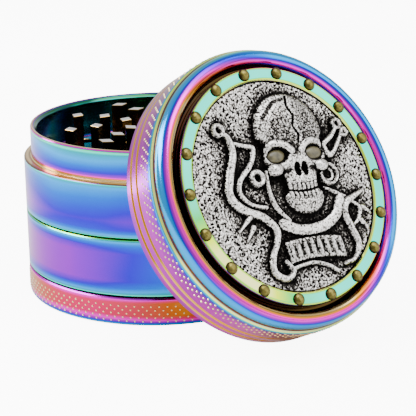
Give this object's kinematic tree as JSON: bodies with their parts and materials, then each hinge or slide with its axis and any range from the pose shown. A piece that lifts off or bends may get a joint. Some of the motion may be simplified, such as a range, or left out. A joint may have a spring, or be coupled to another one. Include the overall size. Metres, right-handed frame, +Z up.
{
  "type": "herb grinder",
  "caption": "Round metal herb grinder: threaded catcher, screen chamber and toothed grinding chamber in a stack, with its magnetic decorated lid leaning against it.",
  "frame": {"origin": "centre of the catcher's flat underside", "axes": "+Z up the stack's axis, +X from the stack towards the leaning lid, which leans square to X"},
  "size_m": [0.0931, 0.063, 0.0605],
  "materials": {
    "catcher_plating": "rainbow titanium plating over polished zinc alloy, magenta over orange and purple, knurled",
    "screen_chamber_plating": "rainbow titanium plating over polished zinc alloy, magenta violet to blue",
    "grinding_chamber_plating": "rainbow titanium plating over polished zinc alloy, cyan to indigo",
    "lid_plating": "rainbow titanium plating over polished zinc alloy, mauve purple skirt and cyan, pink and gold rim",
    "bezel_plating": "aqua titanium plating over polished zinc alloy",
    "rivet_metal": "dark olive plated dome",
    "medallion_silver": "antiqued silver casting, blackened in the hollows and rubbed bright on the high points",
    "eye_enamel": "smooth olive grey resin",
    "sieve_steel": "woven stainless wire cloth in a plain ring",
    "magnet_nickel": "bright nickel plate"
  },
  "bodies": {
    "kief_catcher": {"kief_catcher": "catcher_plating"},
    "sieve_carrier": {"sieve_mesh": "sieve_steel", "sieve_ring": "sieve_steel"},
    "screen_chamber": {"screen_chamber": "screen_chamber_plating"},
    "chamber_magnet": {"chamber_magnet": "magnet_nickel"},
    "grinding_chamber": {"grinding_chamber": "grinding_chamber_plating"},
    "lid_magnet": {"lid_magnet": "magnet_nickel"},
    "lid": {"lid_shell": "lid_plating", "bezel_ring": "bezel_plating", "medallion": "medallion_silver", "eye_insert_left": "eye_enamel", "eye_insert_right": "eye_enamel", "rivet_01": "rivet_metal", "rivet_02": "rivet_metal", "rivet_03": "rivet_metal", "rivet_04": "rivet_metal", "rivet_05": "rivet_metal", "rivet_06": "rivet_metal", "rivet_07": "rivet_metal", "rivet_08": "rivet_metal", "rivet_09": "rivet_metal", "rivet_10": "rivet_metal", "rivet_11": "rivet_metal", "rivet_12": "rivet_metal", "rivet_13": "rivet_metal", "rivet_14": "rivet_metal", "rivet_15": "rivet_metal", "rivet_16": "rivet_metal", "rivet_17": "rivet_metal", "rivet_18": "rivet_metal"}
  },
  "joints": [
    {"name": "screen_chamber_rise", "type": "slide", "parent": "kief_catcher", "child": "sieve_carrier", "axis": [0, 0, 1], "range_m": [0, 0.006]},
    {"name": "screen_chamber_turn", "type": "hinge", "parent": "sieve_carrier", "child": "screen_chamber", "pos_m": [0, 0, 0.0132], "axis": [0, 0, 1], "range_deg": [0, 1080]},
    {"name": "grinding_chamber_rise", "type": "slide", "parent": "screen_chamber", "child": "chamber_magnet", "axis": [0, 0, 1], "range_m": [0, 0.006]},
    {"name": "grinding_chamber_turn", "type": "hinge", "parent": "chamber_magnet", "child": "grinding_chamber", "pos_m": [0, 0, 0.0263], "axis": [0, 0, 1], "range_deg": [0, 1080]},
    {"name": "lid_pull", "type": "slide", "parent": "grinding_chamber", "child": "lid_magnet", "axis": [0.8773, 0, 0.4799], "range_m": [0, 0.04]},
    {"name": "lid_turn", "type": "hinge", "parent": "lid_magnet", "child": "lid", "pos_m": [0.03502, 0, 0.02749], "axis": [0.8773, 0, 0.4799], "continuous": true}
  ],
  "couplings": [
    {"joint": "screen_chamber_rise", "follows": "screen_chamber_turn", "m_per_rad": 0.00031831},
    {"joint": "grinding_chamber_rise", "follows": "grinding_chamber_turn", "m_per_rad": 0.00031831}
  ]
}
